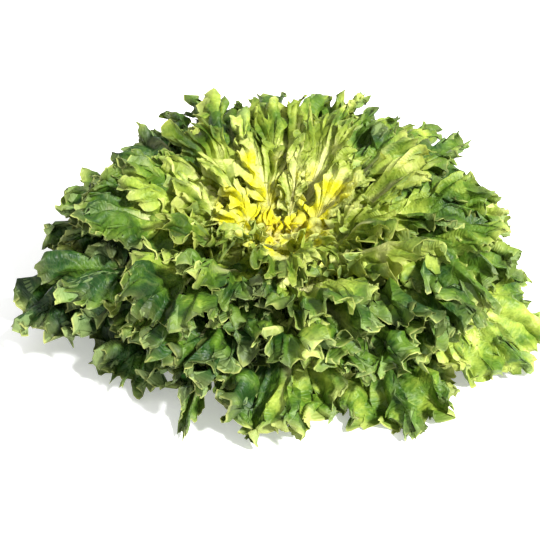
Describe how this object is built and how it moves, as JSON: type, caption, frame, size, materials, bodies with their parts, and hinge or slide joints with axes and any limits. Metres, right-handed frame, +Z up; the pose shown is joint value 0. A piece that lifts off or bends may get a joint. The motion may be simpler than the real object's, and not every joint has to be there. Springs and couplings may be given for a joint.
{
  "type": "head of escarole",
  "caption": "Loose flattened head of a curly-edged leafy green, with dark outer leaves laid out round a yellow heart on a short cut crown.",
  "frame": {"origin": "middle of the crown's cut face, which rests on the surface the head stands on", "axes": "+Z up through the heart; +Y away from the viewer of the picture; +X to the viewer's right"},
  "size_m": [0.3795, 0.3523, 0.1175],
  "materials": {
    "stem_white": "matt, moist cut plant stem",
    "heart_yellow": "satin, thin translucent leaf",
    "leaf_yellow_green": "satin, thin translucent leaf",
    "leaf_green": "satin, waxy leaf",
    "leaf_dark_green": "satin, waxy leaf"
  },
  "bodies": {
    "root": {"crown": "stem_white", "heart": "heart_yellow", "leaf_01_outer": "leaf_dark_green", "leaf_02_outer": "leaf_dark_green", "leaf_03_outer": "leaf_dark_green", "leaf_04_outer": "leaf_dark_green", "leaf_05_outer": "leaf_dark_green", "leaf_06_outer": "leaf_dark_green", "leaf_07_outer": "leaf_dark_green", "leaf_08_outer": "leaf_dark_green", "leaf_09_outer": "leaf_dark_green", "leaf_10_outer": "leaf_dark_green", "leaf_11_outer": "leaf_dark_green", "leaf_12_outer": "leaf_dark_green", "leaf_13_outer": "leaf_dark_green", "leaf_14_outer": "leaf_dark_green", "leaf_15_outer": "leaf_dark_green", "leaf_16_outer": "leaf_dark_green", "leaf_17_middle": "leaf_green", "leaf_18_middle": "leaf_green", "leaf_19_middle": "leaf_green", "leaf_20_middle": "leaf_green", "leaf_21_middle": "leaf_green", "leaf_22_middle": "leaf_green", "leaf_23_middle": "leaf_green", "leaf_24_middle": "leaf_green", "leaf_25_middle": "leaf_green", "leaf_26_middle": "leaf_green", "leaf_27_middle": "leaf_green", "leaf_28_middle": "leaf_green", "leaf_29_middle": "leaf_green", "leaf_30_middle": "leaf_green", "leaf_31_middle": "leaf_green", "leaf_32_middle": "leaf_green", "leaf_33_middle": "leaf_green", "leaf_34_middle": "leaf_green", "leaf_35_inner": "leaf_yellow_green", "leaf_36_inner": "leaf_yellow_green", "leaf_37_inner": "leaf_yellow_green", "leaf_38_inner": "leaf_yellow_green", "leaf_39_inner": "leaf_yellow_green", "leaf_40_inner": "leaf_yellow_green", "leaf_41_inner": "leaf_yellow_green", "leaf_42_inner": "leaf_yellow_green", "leaf_43_inner": "leaf_yellow_green", "leaf_44_inner": "leaf_yellow_green", "leaf_45_inner": "leaf_yellow_green", "leaf_46_inner": "leaf_yellow_green", "leaf_47_inner": "leaf_yellow_green", "leaf_48_inner": "leaf_yellow_green", "leaf_49_inner": "leaf_yellow_green", "leaf_50_inner": "leaf_yellow_green"}
  },
  "joints": []
}
